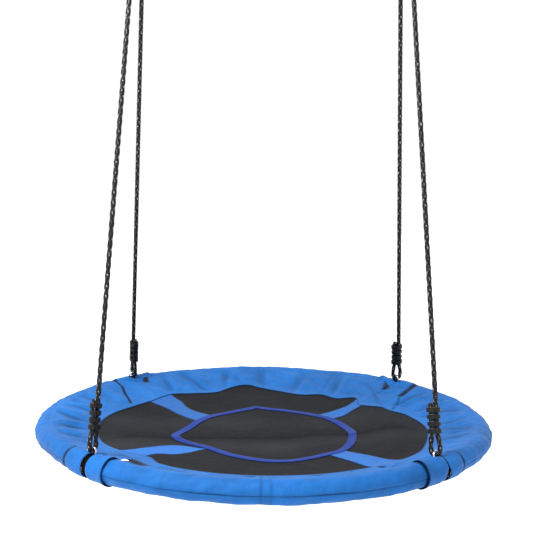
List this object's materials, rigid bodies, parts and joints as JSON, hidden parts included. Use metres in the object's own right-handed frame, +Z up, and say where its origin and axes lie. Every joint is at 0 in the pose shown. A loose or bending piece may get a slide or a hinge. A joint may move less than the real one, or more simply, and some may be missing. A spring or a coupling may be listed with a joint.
{
  "type": "saucer nest swing",
  "caption": "Round nest swing with a padded steel ring, a blue and dark fabric seat, adjustable ropes, steel rings and sprung snap hooks to hang it from a beam.",
  "frame": {"origin": "midway between the two points where the snap hooks hang on the beam", "axes": "+X from the left ropes to the right ropes, +Y from the front of the seat to its back, +Z up"},
  "size_m": [1.016, 1.016, 1.5134],
  "materials": {
    "cover_fabric": "blue coated polyester cloth, fine plain weave, soft sheen",
    "band_fabric": "light blue coated polyester cloth",
    "tape_fabric": "dark blue woven tape",
    "mat_fabric": "charcoal coated polyester cloth, matt",
    "webbing": "black polyester webbing",
    "rope": "black braided polyethylene rope with grey flecks",
    "black_plastic": "black moulded plastic",
    "zinc_steel": "bright zinc-plated steel",
    "steel_tube": "galvanised steel tube",
    "foam": "closed-cell foam sleeve"
  },
  "bodies": {
    "hangers": {"snap_hook_left": "zinc_steel", "snap_hook_right": "zinc_steel", "gate_pin_left": "zinc_steel", "gate_pin_right": "zinc_steel"},
    "left_gate": {"hook_gate_left": "zinc_steel"},
    "right_gate": {"hook_gate_right": "zinc_steel"},
    "top_rings": {"top_ring_left": "zinc_steel", "top_ring_right": "zinc_steel"},
    "left_ropes": {"rope_left_front": "rope", "rope_turn_low_left_front": "rope", "rope_turn_top_left_front": "rope", "adjuster_left_front": "black_plastic", "rope_clamp_left_front": "black_plastic", "rope_left_back": "rope", "rope_turn_low_left_back": "rope", "rope_turn_top_left_back": "rope", "adjuster_left_back": "black_plastic", "rope_clamp_left_back": "black_plastic"},
    "right_ropes": {"rope_right_front": "rope", "rope_turn_low_right_front": "rope", "rope_turn_top_right_front": "rope", "adjuster_right_front": "black_plastic", "rope_clamp_right_front": "black_plastic", "rope_right_back": "rope", "rope_turn_low_right_back": "rope", "rope_turn_top_right_back": "rope", "adjuster_right_back": "black_plastic", "rope_clamp_right_back": "black_plastic"},
    "seat": {"frame_tube_right": "steel_tube", "foam_sleeve_right": "foam", "cover_right": "cover_fabric", "frame_tube_back": "steel_tube", "foam_sleeve_back": "foam", "cover_back": "cover_fabric", "frame_tube_left": "steel_tube", "foam_sleeve_left": "foam", "cover_left": "cover_fabric", "frame_tube_front": "steel_tube", "foam_sleeve_front": "foam", "cover_front": "cover_fabric", "wrap_flap_left_front": "cover_fabric", "webbing_loop_left_front": "webbing", "seat_ring_left_front": "zinc_steel", "diagonal_band_left_front": "band_fabric", "wrap_flap_left_back": "cover_fabric", "webbing_loop_left_back": "webbing", "seat_ring_left_back": "zinc_steel", "diagonal_band_left_back": "band_fabric", "wrap_flap_right_front": "cover_fabric", "webbing_loop_right_front": "webbing", "seat_ring_right_front": "zinc_steel", "diagonal_band_right_front": "band_fabric", "wrap_flap_right_back": "cover_fabric", "webbing_loop_right_back": "webbing", "seat_ring_right_back": "zinc_steel", "diagonal_band_right_back": "band_fabric", "seat_mat": "mat_fabric", "centre_tape": "tape_fabric"}
  },
  "joints": [
    {"name": "fore_aft_swing", "type": "hinge", "parent": "hangers", "child": "top_rings", "pos_m": [0, 0, -0.066], "axis": [1, 0, 0], "range_deg": [-40, 40]},
    {"name": "left_sway", "type": "hinge", "parent": "top_rings", "child": "left_ropes", "pos_m": [-0.271, 0, -0.11032], "axis": [0, 1, 0], "range_deg": [-12, 12]},
    {"name": "right_sway", "type": "hinge", "parent": "top_rings", "child": "right_ropes", "pos_m": [0.271, 0, -0.11032], "axis": [0, 1, 0], "range_deg": [-12, 12]},
    {"name": "seat_level", "type": "hinge", "parent": "left_ropes", "child": "seat", "pos_m": [-0.33647, 0, -1.44176], "axis": [0, 1, 0], "range_deg": [-9.7, 9.7]},
    {"name": "left_gate_swing", "type": "hinge", "parent": "hangers", "child": "left_gate", "pos_m": [-0.285, 0, -0.0455], "axis": [0, 1, 0], "range_deg": [0, 22], "stiffness_Nm_per_rad": 0.05},
    {"name": "right_gate_swing", "type": "hinge", "parent": "hangers", "child": "right_gate", "pos_m": [0.285, 0, -0.0455], "axis": [0, 1, 0], "range_deg": [-22, 0], "stiffness_Nm_per_rad": 0.05}
  ],
  "couplings": [
    {"joint": "right_sway", "follows": "left_sway", "ratio": 1},
    {"joint": "seat_level", "follows": "left_sway", "ratio": -0.80542}
  ]
}
